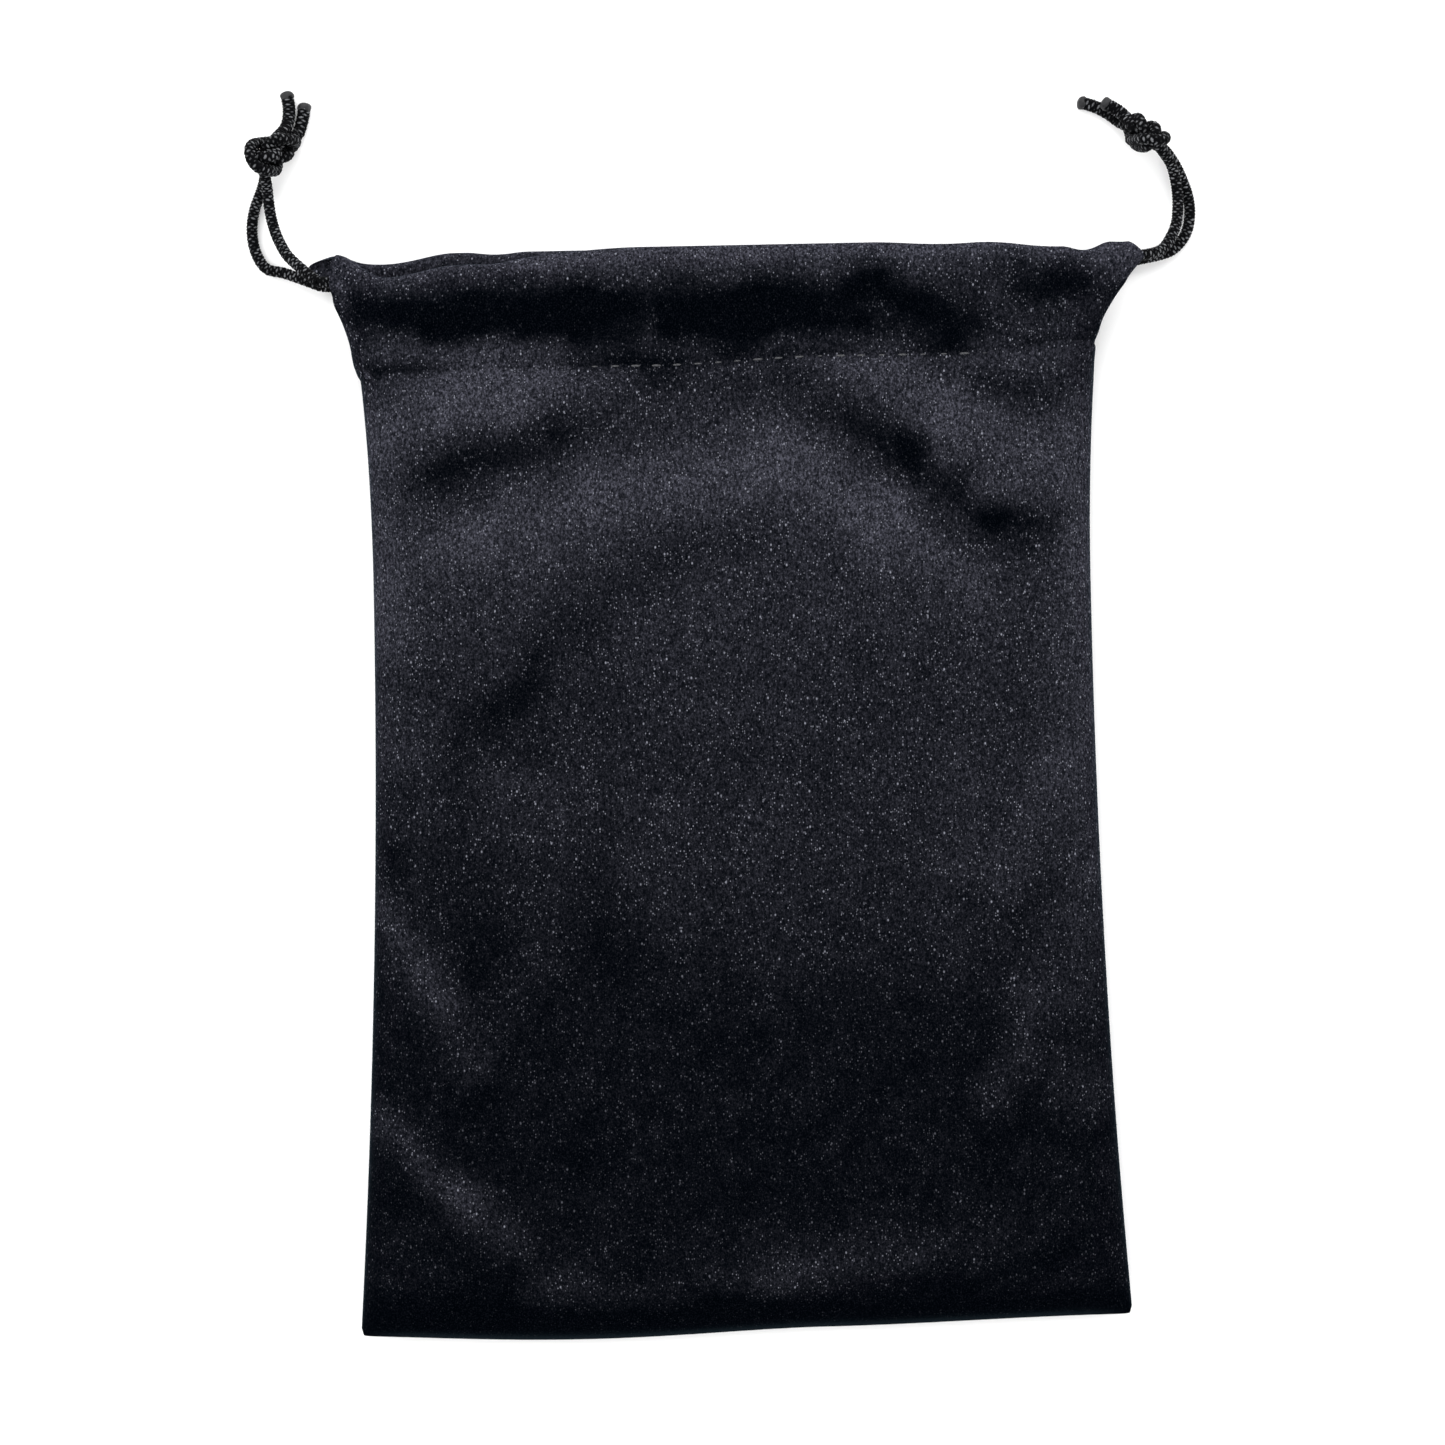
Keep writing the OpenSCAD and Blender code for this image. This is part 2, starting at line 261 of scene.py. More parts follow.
def velvet_material():
    """Black velvet, with its sheen and shade painted into its colour. Slopes that face the mouth are
    painted lighter and slopes that face away darker, as painted light; with the painted marks on the
    cloth this gives the painted sheen. grain and fine are its fibres, and single bright points are
    painted glints.
    """
    n = Nodes("velvet", Roughness=0.9, Specular_IOR_Level=0.0, Sheen_Weight=0.05, Sheen_Roughness=0.3,
              Sheen_Tint=(0.5, 0.8, 1.0, 1))
    rest = n.attribute("rest")
    # painted light: the slope towards the mouth end, which is painted lighter, and away from it, which is
    # painted darker
    painted_slope_light = n.add("SeparateXYZ", {0: n.add("NewGeometry", out=1)}, out=1)
    cloud = n.noise(n.scaled(rest, (0.09, 0.13, 0.09)), detail=4.0, rough=0.6)
    crush = n.noise(n.scaled(rest, (0.5, 0.32, 0.5)), detail=3.0, rough=0.6)
    # painted sheen and shade: the painted marks on the cloth, the painted slope light and random patches
    painted_light = n.math("ADD", n.attribute("painted_light", out=2), n.math("MULTIPLY", painted_slope_light, 0.5))
    painted_light = n.math("ADD", painted_light, n.math("MULTIPLY", n.math("SUBTRACT", cloud, 0.5), 0.3))
    painted_light = n.math("ADD", painted_light, n.math("MULTIPLY", n.math("SUBTRACT", crush, 0.5), 0.3))
    painted_shine = n.math("ADD", painted_light, 0.5, clamp=True)
    streak = n.noise(n.scaled(rest, (2.6, 1.0, 2.6)), detail=3.0, rough=0.7)
    fleck = n.noise(n.scaled(rest, (2.9, 2.1, 2.9)), detail=1.0)
    streaked, flecked = n.ramp(streak, 0.3, 0.7, 0.55, 1.4), n.ramp(fleck, 0.32, 0.68, 0.58, 1.38)
    grain = n.math("MULTIPLY", streaked, flecked)
    # the painted sheen, broken up by the fibres' grain
    painted_lit = n.math("POWER", n.math("MULTIPLY", n.math("ADD", painted_shine, 0.02), grain), 1.55)
    fine = n.ramp(n.noise(n.scaled(rest, (4.6, 3.4, 4.6)), detail=0.0), 0.45, 0.75)
    painted_lit = n.math("MULTIPLY", painted_lit, n.ramp(fine, 0.0, 1.0, 0.8, 1.5))
    painted_lit = n.math("ADD", painted_lit, n.math("MULTIPLY", fine, 0.09))
    # the velvet's black in the deepest painted shade, and the colour of the brightest painted sheen
    painted_shade_colour, painted_sheen_colour = (0.0001, 0.0005, 0.0012, 1), (0.0530, 0.0535, 0.0690, 1)
    painted_tone = n.mix(n.math("MULTIPLY", painted_lit, 0.4), painted_shade_colour, painted_sheen_colour)
    # painted glints: single bright points, stronger where the painted sheen is lighter, mixed towards a
    # pale bluish white
    many, few = n.painted_glint_mask(rest, (3.2, 2.3, 3.2), 0.72), n.painted_glint_mask(rest, (2.0, 1.4, 2.0), 0.93)
    painted_glints = n.math("MULTIPLY", n.math("MAXIMUM", many, few), n.ramp(painted_shine, 0.0, 0.5, 0.06, 1.0))
    n.colour(n.mix(painted_glints, painted_tone, (0.175, 0.180, 0.212, 1)))
    n.bump(streak, 0.35, 0.0002)
    return n.material


def cord_material():
    """Black braid with painted highlights on its strands' crests; between them it keeps its plain black.
    """
    n = Nodes("black_braid", Roughness=0.6, Specular_IOR_Level=0.02)
    fibre = n.noise(n.scaled(n.attribute("rest"), (6.0, 6.0, 6.0)), detail=2.0)
    painted_glint = n.math("MULTIPLY", n.attribute("painted_highlight", out=2), n.ramp(fibre, 0.3, 0.7, 0.75, 1.2))
    fleck = n.ramp(painted_glint, 0.5, 0.95)
    # painted highlights: the braid's black mixed towards a light grey on the crests
    n.colour(n.mix(fleck, (0.0014, 0.0015, 0.0019, 1), (0.115, 0.118, 0.125, 1)))
    n.bump(fibre, 0.5, 0.0001)
    return n.material


def thread_material():
    n = Nodes("thread", Roughness=0.6, Sheen_Weight=0.05)
    twist = n.add("TexWave", {"Vector": n.attribute("rest"), "Scale": 1.1, "Distortion": 0.6},
                  wave_type="BANDS", bands_direction="DIAGONAL")
    n.colour(n.mix(twist, (0.014, 0.015, 0.018, 1), (0.036, 0.037, 0.042, 1)))
    n.bump(twist, 0.4, 0.0001)
    return n.material


def melted_material():
    n = Nodes("melted_end", Roughness=0.45, Specular_IOR_Level=0.2)
    lumps = n.noise(n.scaled(n.attribute("rest"), (1.6, 1.6, 1.6)), detail=3.0)
    n.colour(n.mix(lumps, (0.003, 0.003, 0.004, 1), (0.024, 0.024, 0.026, 1)))
    n.bump(lumps, 0.6, 0.0003)
    return n.material


def floor_material():
    n = Nodes("pale_floor", Roughness=0.9)
    n.colour(n.mix(n.noise(n.add("TexCoord", out=3), 0.8), (0.92, 0.92, 0.92, 1), (0.94, 0.94, 0.94, 1)))
    return n.material


VELVET, BRAID, THREAD, MELTED = velvet_material(), cord_material(), thread_material(), melted_material()


# ---------------------------------------------------------------- camera

CAMERA_H = 850.0                     # above the floor, looking straight down
VIEW_MM = 240.4                      # what the picture's side takes in at the bag's height
VIEW_CENTRE = (-2.05, 11.1)
VIEW_ROLL = math.radians(-1.15)


def make_camera():
    data = bpy.data.cameras.new("camera")
    data.sensor_width = 36
    data.lens = data.sensor_width * CAMERA_H / VIEW_MM
    obj = bpy.data.objects.new("camera", data)
    obj.location = (VIEW_CENTRE[0] * MM, VIEW_CENTRE[1] * MM, CAMERA_H * MM)
    obj.rotation_euler = (0, 0, VIEW_ROLL)
    bpy.context.scene.collection.objects.link(obj)
    bpy.context.scene.camera = obj


# ---------------------------------------------------------------- the mouth

def hump(x, centre, reach):
    return np.maximum(0, 1 - ((x - centre) / reach) ** 2) ** 2


def front_fall(x):
    """How far the front fold lies below the back one: towards the left corner the back cloth shows."""
    return 2.6 * smooth((-14 - x) / 36) * (1 - smooth((-56 - x) / 7))


def mouth_line(x):
    """The mouth's top edge: nearly straight, with a dip inside each corner's ear."""
    left = 1.7 * hump(x, -57, 12) + 0.4 * hump(x, -38, 5) - 0.5 * smooth((-60 - x) / 4)
    right = 1.3 * hump(x, 55, 14) + 0.9 * hump(x, 59.3, 4) + 0.5 * smooth((x - 62) / 4)
    right = right + 0.5 * hump(x, 36, 12)
    return MOUTH_Y - left - right


def hem_line(x):
    """The row of stitches that closes the front casing: it climbs a little towards the right corner."""
    climb = 0.3 * smooth((x + 60) / 40) + smooth((x + 14) / 30) + 1.7 * smooth((x - 42) / 14)
    return HEM_Y - 1.2 + climb


def run_y_at(x, side, run_y):
    """How far along the bag a cord lies in the casing: lower towards the left, as the front's fold is.
    At its own corner each cord rises again to where it leaves.
    """
    lowered = 3.2 * smooth((-16 - x) / 34)
    if side < 0:
        return run_y - lowered + 1.9 * smooth((-56 - x) / 11)
    return run_y - lowered + 2.4 * smooth((x - 59) / 8)


# ---------------------------------------------------------------- cords

def ring_frames(line):
    """Two directions across the line at each point, which turn with it and don't twist."""
    along = unit(np.gradient(line, axis=0))
    across = np.zeros_like(line)
    side = np.cross(along[0], [0.2, 0.1, 1.0])
    for i, t in enumerate(along):
        side = unit(side - t * (side @ t))
        across[i] = side
    return across, np.cross(along, across)


def braid_height(along, around, length, strands=5, pitch=0.5):
    """How high the braid's strands stand, 0 to 1, and how strong the painted highlight on each float of
    them is.
    Two families of strands wind opposite ways. Each passes over two of the others, then under two.
    """
    turns = round(length / pitch)
    a = along / length * turns + around * strands
    b = along / length * turns - around * strands
    phase = (np.floor(a) + np.floor(b)) % 4
    over = phase < 2
    across = np.where(over, b, a) % 1
    run = np.where(over, phase + a % 1, phase - 2 + b % 1) / 2
    ridge = np.sqrt(np.clip(1 - (2 * across - 1) ** 2, 0, 1))
    height = ridge * (0.45 + 0.55 * np.sin(math.pi * run))
    # the painted highlight: along the middle of each float, stronger on some floats than on others
    chance = np.random.default_rng(7).random((32, 32))
    float_a, float_b = np.floor(a - phase * over), np.floor(b - (phase - 2) * ~over)
    painted_glint = chance[float_a.astype(int) % 32, float_b.astype(int) % 32]
    return height, ridge * np.sin(math.pi * run) * (0.55 + 0.65 * painted_glint)


def make_braid(name, line, sides=40, step=0.1, swell=0.0):
    """A braided tube along a line, with flat closed ends. Towards the line's end it swells, by swell."""
    line = spaced(line, step)
    across, other = ring_frames(line)
    length = line_length(line)
    along = np.linspace(0, length, len(line))[:, None]
    around = np.arange(sides)[None, :] / sides
    height, painted_glint = braid_height(along, around, length)
    angle = 2 * math.pi * around[..., None]
    direction = across[:, None] * np.cos(angle) + other[:, None] * np.sin(angle)
    loosened = 1 + swell * smooth((along - length + SWELL_FROM) / SWELL_OVER)
    radius = (CORD_R - BRAID_IN + BRAID_DEPTH * height) * loosened
    points = (line[:, None] + direction * radius[..., None]).reshape(-1, 3)
    faces = grid_faces(len(line), sides, wrap=True)
    last = (len(line) - 1) * sides
    faces += [tuple(range(sides))[::-1], tuple(range(last, last + sides))]
    obj = make_mesh(name, points, faces, BRAID)
    store(obj.data, "painted_highlight", "FLOAT", painted_glint)
    return obj, line


def loose_knot(half, wide=3.0, high=1.6, count=600):
    """An open overhand knot whose ends lie on the X axis."""
    end = 2.12
    t = np.linspace(-end, end, count)
    ease = smooth((end - np.abs(t)) / 0.35)
    x = (t**5 - 10 * t) * half / (end**5 - 10 * end)
    return np.stack([x, (t**3 - 3 * t) * wide * ease, (t**4 - 4 * t**2 + 2) * high * ease], 1)


def push_apart(points, strand_of, gap, skip):
    """The moves that part points closer than gap, unless they are neighbours on one strand."""
    index = np.arange(len(points))
    square = (points * points).sum(1)
    apart = square[:, None] + square[None, :] - 2 * points @ points.T
    one_strand = strand_of[:, None] == strand_of[None, :]
    neighbours = one_strand & (np.abs(index[:, None] - index[None, :]) < skip)
    i, j = np.nonzero(np.triu((apart < gap * gap) & ~neighbours, 1))
    delta = points[i] - points[j]
    dist = np.maximum(np.linalg.norm(delta, axis=1, keepdims=True), 1e-6)
    move = (gap - dist) / dist * delta * 0.5
    push, touches = np.zeros_like(points), np.zeros(len(points))
    for at, sign in ((i, 1), (j, -1)):
        np.add.at(push, at, sign * move)
        np.add.at(touches, at, 1)
    return push / np.maximum(1, touches)[:, None] * 1.5


def pull_knot(length, gap, count=96, half=11.0, steps=650):
    """Two strands tied in one overhand knot and pulled tight. Each strand shrinks to length, its bends
    ease, and where strands come closer than gap they are pushed apart.
    """
    base = loose_knot(half)
    side = unit(np.cross(np.gradient(base, axis=0), [0, 0, 1.0])) * (gap / 2 + 0.05)
    strands = [evenly(base + side, count), evenly(base - side, count)]
    points = np.concatenate(strands)
    strand_of = np.repeat([0, 1], count)
    free = np.ones((2 * count, 1))
    free[[0, 1, count - 2, count - 1, count, count + 1, 2 * count - 2, 2 * count - 1]] = 0
    pairs = [np.concatenate([np.arange(k * count + odd, (k + 1) * count - 1, 2) for k in (0, 1)])
             for odd in (0, 1)]
    inner = np.concatenate([np.arange(k * count + 1, (k + 1) * count - 1) for k in (0, 1)])
    start = line_length(strands[0]) / (count - 1)
    pulled_by = 0.7 * steps
    for step in range(steps):
        rest = start + (length / (count - 1) - start) * min(1, step / pulled_by)
        for a in pairs * 4:
            delta = points[a + 1] - points[a]
            dist = np.linalg.norm(delta, axis=1, keepdims=True)
            move = (dist - rest) / dist * delta * 0.5
            points[a] += move * free[a]
            points[a + 1] -= move * free[a + 1]
        halfway = (points[inner - 1] + points[inner + 1]) / 2
        points[inner] += (halfway - points[inner]) * 0.3 * free[inner]
        points += push_apart(points, strand_of, gap, math.ceil(1.5 * gap / rest)) * free
    return [points[:count], points[count:]]


def place_knot(knot, centre, turn, roll):
    """The knot's strands laid on the floor, rolled about the knot's own X axis and turned about Z."""
    a, r = math.radians(turn), math.radians(roll)
    ahead = np.array([math.cos(a), math.sin(a), 0])
    level = np.array([-math.sin(a), math.cos(a), 0])
    up = np.array([0, 0, 1.0])
    rolled_level = math.cos(r) * level + math.sin(r) * up
    rolled_up = math.cos(r) * up - math.sin(r) * level
    axes = np.array([ahead, rolled_level, rolled_up])
    placed = [strand @ axes + centre for strand in knot]
    core = np.concatenate([s[np.abs(k[:, 0]) < 5] for s, k in zip(placed, knot)])
    lift = CORD_R + 0.1 - core[:, 2].min()
    return [strand + [0, 0, lift] for strand in placed]


def core_of(strand, knot_strand, reach):
    """The part of a placed strand that is in the knot itself."""
    x = knot_strand[:, 0]
    return strand[np.nonzero(x > -reach)[0][0]:np.nonzero(x < reach)[0][-1] + 1]


def in_place(route, side, run_y):
    return np.array([(side * (HINGE_X + out), run_y + up, z) for out, up, z in route])


def tail_line(route, side, run_y, centre, core, lift):
    """A free end from its exit through the knot to its tip. The exit replaces the first two route points.
    Just past the corner it lies further along the bag than its route, by lift.
    """
    p = in_place(route, side, run_y)
    p[:, 1] += lift * hump(np.abs(p[:, 0]), HINGE_X + 3.5, 5)
    exit_point = [side * RUN_END_X, run_y_at(side * RUN_END_X, side, run_y), p[0][2]]
    near = np.nonzero(np.linalg.norm((p - centre)[:, :2], axis=1) < KNOT_CLEAR)[0]
    lead = curve_through(np.concatenate([[exit_point], p[2:near[0]], core[:2]]))
    trail = curve_through(np.concatenate([core[-2:], p[near[-1] + 1:]]))
    return softened(np.concatenate([lead[:-3], core[2:-2], trail[3:]]), 14)


def make_tip(name, line, side_name):
    """A cord end melted into a flared, uneven bead."""
    end, ahead = line[-1], unit(line[-1] - line[-4])
    sides = 20
    profile = [(-0.5, 0.9), (-0.25, 1.02), (0.1, 1.1), (0.45, 1.06), (0.75, 0.86), (0.92, 0.5), (1, 0.12)]
    across = unit(np.cross(ahead, [0.3, 0.2, 1.0]))
    other = np.cross(ahead, across)
    points = []
    for s, r in profile:
        for k in range(sides):
            angle = 2 * math.pi * k / sides
            uneven = 1 + 0.07 * math.sin(3 * angle + 4 * s + end[0]) + 0.04 * math.sin(5 * angle + end[1])
            outward = across * math.cos(angle) + other * math.sin(angle)
            points.append(end + ahead * s + outward * CORD_R * (1 + END_SWELL) * r * uneven)
    points = np.array(points)
    # the bead stays above the floor
    points[:, 2] = np.maximum(points[:, 2], 0.02)
    faces = grid_faces(len(profile), sides, wrap=True)
    last = (len(profile) - 1) * sides
    faces += [tuple(range(sides))[::-1], tuple(range(last, last + sides))]
    obj = make_mesh(name, points, faces, MELTED)
    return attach(obj, side_name + "_tail")


def run_line(side, run_y):
    """The cord inside the casing: along the front, round the far corner, and back along the back."""
    xs = np.linspace(side * RUN_END_X, -side * BRIDGE_X, 140)
    front_z = FRONT_Z - 0.6 * smooth((-16 - xs) / 34) * smooth((xs + 67) / 8)
    front = np.stack([xs, run_y_at(xs, side, run_y), front_z], 1)
    middle = (front_z[-1] + BACK_Z) / 2
    turn = np.linspace(0, math.pi, 24)[1:-1]
    far_y = run_y_at(-side * BRIDGE_X, side, run_y)
    bridge = np.stack([-side * (BRIDGE_X + BRIDGE_OUT * np.sin(turn)), np.full_like(turn, far_y),
                       middle + (front_z[-1] - middle) * np.cos(turn)], 1)
    back = front[::-1] * [1, 1, 0] + [0, 0, BACK_Z]
    return np.concatenate([front, bridge, back])


EXIT_LIFTS = (0.4, 1.1)              # see tail_line: for the front free end and the back one


def make_side_cord(name, side, run_y, routes, knot, centre, turn, roll):
    """One drawcord: the run in the casing and its two free ends, tied in one overhand knot."""
    run, _ = make_braid(name + "_cord_in_casing", run_line(side, run_y), sides=20, step=0.16)
    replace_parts(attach(run, name + "_cord"), name + "_cord_run")
    centre = np.array([side * HINGE_X, run_y, 0]) + centre
    strands = place_knot(knot, centre, turn, roll)
    cores = [core_of(s, k, KNOT_REACH) for s, k in zip(strands, knot)]
    cores.sort(key=lambda core: -core[0][2])
    for ply, route, core, lift in zip(("front", "back"), routes, cores, EXIT_LIFTS):
        line = tail_line(route, side, run_y, centre, core, lift)
        tail, path = make_braid(f"{name}_cord_end_{ply}", line, swell=END_SWELL)
        tip = make_tip(f"{name}_tip_{ply}", path, name)
        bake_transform(tail)
        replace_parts(tail, f"{name}_tail_{ply}", name + "_knot", name + "_cord_tips")


make_camera()
make_side_cord("left", -1, LEFT_RUN_Y, (LEFT_FRONT, LEFT_BACK), pull_knot(length=50.0, gap=2.0),
               centre=(-7.0, 20.8, 3.6), turn=66, roll=244)
make_side_cord("right", 1, RIGHT_RUN_Y, (RIGHT_FRONT, RIGHT_BACK), pull_knot(length=46.0, gap=1.8),
               centre=(1.5, 22.6, 3.0), turn=142, roll=274)


# ---------------------------------------------------------------- cloth

SEAM_Z = 3.6                         # the side and bottom seams' height above the floor
TOP_Z = 10.6                         # the front cloth over the middle of the bag
CASING = MOUTH_Y - HEM_Y

# The casings from the stitching up, over the mouth's fold and down inside:
# distance up from the stitching, height, half width on the left, half width on the right
FRONT_FOLD = [(0, 9.7, 60.9, 60.1), (2, 10.1, 61.5, 60.8), (5, 10.1, 61.9, 61.6), (8, 10.5, 62.9, 63.1),
              (11, 11.1, 64.3, 64.8), (13.5, 11.4, 65.1, 67), (15.2, 11.3, 65.1, 68.7),
              (16.6, 11, 64.9, 68), (17.8, 10.4, 64.5, 66.4), (18.3, 9.8, 63.8, 64.6),
              (17.9, 9.1, 62.6, 63), (16.5, 8.7, 61.5, 61.5), (13, 8.5, 61, 61), (6, 8.5, 60.8, 60.5),
              (0, 8.5, 60, 59.6), (-1, 8.5, 59.6, 59.4)]
BACK_FOLD = [(0, 0.62, 60.4, 60), (2, 0.45, 60.9, 60.6), (5, 0.42, 61.8, 61.4), (8, 0.42, 62.8, 62.8),
             (11, 0.42, 64, 64.6), (13.5, 0.42, 65.8, 66.2), (15.2, 0.42, 68.2, 67.4),
             (16.4, 0.5, 69.4, 67), (17.7, 1.1, 66.6, 65.4), (18.2, 1.9, 64.6, 63.6),
             (17.9, 2.6, 63, 62.2), (16.5, 3, 61.5, 61.5), (13, 3.1, 61, 61), (6, 3.1, 60.8, 60.5),
             (0, 3.1, 60, 59.6), (-1, 3.1, 59.6, 59.4)]

# Soft ridges in the front cloth: from x, y to x, y, half breadth, height
RIDGES = [(-60, 56, -18, 66, 8, 1.5), (15, 68, 52, 45, 8, 1.6), (-40, 20, 30, 20, 34, 0.8),
          (-58, -30, -45, -48, 6, 0.8), (-58, -60, -40, -74, 6, 0.8), (56, -2, 44, -20, 6, 0.7),
          (50, -38, 41, -53, 6, 0.5), (-38, -84, 30, -78, 6, 0.6)]

# Painted sheen and shade on the front cloth: from x, y to x, y, half breadth, how much lighter it is
# painted.
# The casing: a dark band of painted shade between lighter painted edges
IN_CASING = [(-60, 88.4, -30, 89.4, 2.2, 0.36), (-30, 89.4, 66, 89.6, 2.8, 0.36),
             (-60, 80.6, -22, 80.6, 4.3, -0.46), (-22, 79.2, 4, 79.2, 5.6, -0.42),
             (4, 79.6, 18, 79.6, 4.9, -0.42), (23, 82.5, 38, 76, 5.2, -0.46),
             (49, 83.5, 58, 82.5, 4.2, -0.36), (43, 82, 45, 79, 2.4, 0.06),
             (42, 75, 46, 75, 2.6, -0.18), (57, 75, 58.5, 75.4, 2.2, -0.16),
             (-13, 84, -13, 75, 2, 0.12), (19.5, 77, 19.5, 73, 3, 0.12),
             (-56, 74.2, -34, 74.6, 3.6, 0.2), (-48, 76.5, -26, 76.5, 3.0, -0.46),
             (-10, 75.8, 22, 75.8, 3.2, -0.3), (-24, 73.5, -18, 73.5, 3, -0.3),
             (20, 74, 36, 73.5, 3, -0.2), (-64, 84, -62, 76, 1.6, 0.22), (62, 86, 67, 85, 3, 0.2),
             (-52, 86, -44, 87, 2, 0.16), (48, 86, 54, 85, 2, -0.14), (-38, 84, -28, 84.4, 2.2, -0.16)]
# Under the casing: the painted light arch and the painted shade in the creases beside it
IN_ARCH = [(-57, 69.6, -50, 69.6, 2.2, -0.26), (-46, 67.5, -30, 67, 6.5, 0.3),
           (-57, 62, -36, 64, 5, 0.22), (-50, 52.5, -28, 60.5, 4.4, -0.34), (-58, 28, -58, 58, 6, 0.3),
           (-40, 43, -24, 47, 6, 0.28), (-22, 49, 6, 54, 7.5, 0.32), (8, 54, 24, 46, 7, 0.3),
           (22, 69, 36, 64, 5, 0.24), (36, 63, 50, 55, 5, 0.26), (19, 61, 30, 54.5, 4.2, -0.3),
           (30, 54.5, 44, 44, 4.4, -0.36), (44, 43, 54, 45.5, 3.2, -0.22), (-12, 70, 14, 69, 5, -0.16),
           (-24, 69.5, -9, 69, 3.2, -0.32), (8, 69.5, 14, 69.5, 3, -0.14), (32, 69.5, 36, 69, 3, -0.14),
           (43, 66, 53, 63, 3.6, -0.22), (28, 60, 38, 57, 3, 0.24), (-55, 55, -55, 58, 3, 0.12),
           (31, 54.5, 35, 53, 2.4, 0.2), (-47, 49, -41, 48, 3.4, -0.2), (9, 51, 13, 44, 4, 0.1),
           (42, 49, 46, 50, 3, 0.16), (33, 45, 36, 42, 3, -0.16), (34, 58, 36, 56, 3, 0.16),
           (34, 54, 37, 52, 2, 0.16), (42, 50, 47, 47, 3, 0.12)]
# The middle: both sides painted lighter, with soft places of painted shade between
IN_MIDDLE = [(-56, 35, -42, 42, 6, 0.2), (24, 46, 40, 32, 5.5, 0.28), (-57, 8, -57, 24, 4.5, 0.12),
             (57, 14, 57, 60, 6, 0.3), (56, -40, 57, 8, 5.4, 0.18), (-58, -18, -49, -34, 4, 0.28),
             (-49, -34, -44, -44, 4, 0.12), (54, 6, 44, -15, 4.6, 0.14), (49, -34, 42, -50, 4.4, 0.2),
             (-46, 2, -40, 14, 6, -0.18), (-38, 16, -28, 27, 5.5, -0.18), (-24, 30, -10, 38, 5, -0.16),
             (-8, 40, 6, 41, 4, -0.12), (38, 38, 46, 39, 4.5, -0.14), (-56, -12, -56, 0, 4.5, -0.14),
             (-30, 4, 30, 4, 9, -0.04), (-34, -12, -20, -30, 8, -0.06), (55, 46, 56, 36, 4, 0.12),
             (20, 42, 24, 36, 4, 0.14), (-35, 36, -31, 40, 3.5, 0.1), (-34, 22, -32, 8, 6, -0.14),
             (-22, 22, -22, 16, 6, -0.1), (22, 22, 22, 16, 5, -0.08), (-46, -10, -43, -26, 8, -0.18),
             (-22, -8, -22, -26, 7, -0.12), (-55, -10, -56, -16, 4, -0.12), (50, -45, 58, -51, 5, 0.18),
             (32, -12, 34, -28, 5, 0.08), (38, 0, 38, -10, 5, 0.1)]
# Towards the bottom seam: painted sheen and shade
IN_LOW_PART = [(-59, -54, -46, -66, 3.8, 0.3), (-46, -66, -38, -74, 4, 0.2),
               (-36, -82, 10, -80, 4.4, 0.12), (4, -79.5, 42, -77, 5.6, 0.13),
               (-60, -88.6, 60, -88.6, 2.4, -0.04), (4, -80, 28, -78.5, 3.6, 0.15),
               (18, -85, 57, -84, 3.6, 0.1), (-34, -80, -10, -80, 4, 0.08)]
PAINTED_LIGHT_MARKS = IN_CASING + IN_ARCH + IN_MIDDLE + IN_LOW_PART


def painted_light_falls(y):
    """Painted sheen and shade: the cloth is painted lighter in the upper part of the bag than near its
    bottom.
    """
    return 0.06 - 0.08 * smooth((40 - y) / 30) - 0.335 * smooth((-2 - y) / 45)


def half_width(y):
    """Half the bag's width at y, up to the stitching."""
    low = np.maximum(0, (WAIST_Y - y) / (WAIST_Y - BOTTOM_Y)) ** 2 * (BOTTOM_W - WAIST_W)
    high = ((y - WAIST_Y) / (HEM_Y - WAIST_Y)) ** 2 * (HEM_W - WAIST_W)
    return (WAIST_W + np.where(y < WAIST_Y, low, high)) / 2


def bottom_shift(x, y):
    """The bottom seam isn't quite straight: it dips left of the middle and climbs towards the right."""
    return (1.1 * smooth((x - 12) / 50) - 1.3 * hump(x, -28, 42)) * smooth((-50 - y) / 38)


def stroke(x, y, x0, y0, x1, y1, breadth):
    """1 along a line from (x0, y0) to (x1, y1), fading to 0 at its half breadth."""
    dx, dy = x1 - x0, y1 - y0
    t = np.clip(((x - x0) * dx + (y - y0) * dy) / (dx * dx + dy * dy), 0, 1)
    away = np.hypot(x - x0 - t * dx, y - y0 - t * dy)
    return np.exp(-1.6 * (away / breadth) ** 2)


def strokes(x, y, marks, stray=0.0):
    """All marks together. stray bends them a little, as a hand does."""
    u = x + stray * wrinkles(x, y, 31, 22)
    v = y + stray * wrinkles(x, y, 32, 22)
    return sum(m[5] * stroke(u, v, *m[:5]) for m in marks)


def wrinkles(x, y, seed, size=24.0, waves=9):
    """Uneven soft cloth: a few waves of different directions and lengths, -1 to 1."""
    random = np.random.default_rng(seed)
    total = np.zeros_like(x)
    for _ in range(waves):
        angle = random.uniform(0, math.pi)
        length = size * random.uniform(0.5, 1.6)
        phase = random.uniform(0, 6.3)
        total += np.sin((x * math.cos(angle) + y * math.sin(angle)) * 2 * math.pi / length + phase)
    return total / waves**0.5 / 1.6


def rounded(t):
    """A cloth edge's profile: steep at the seam, level past t = 1."""
    return (1 - (1 - np.clip(t, 0, 1)) ** 2.3) ** (1 / 2.3)


def columns(count=70):
    """Places across the bag from -1 to 1, closer together towards its sides."""
    u = np.linspace(0, 1, count)
    s = 1 - (1 - u) ** 1.5
    return np.concatenate([-s[:0:-1], s])


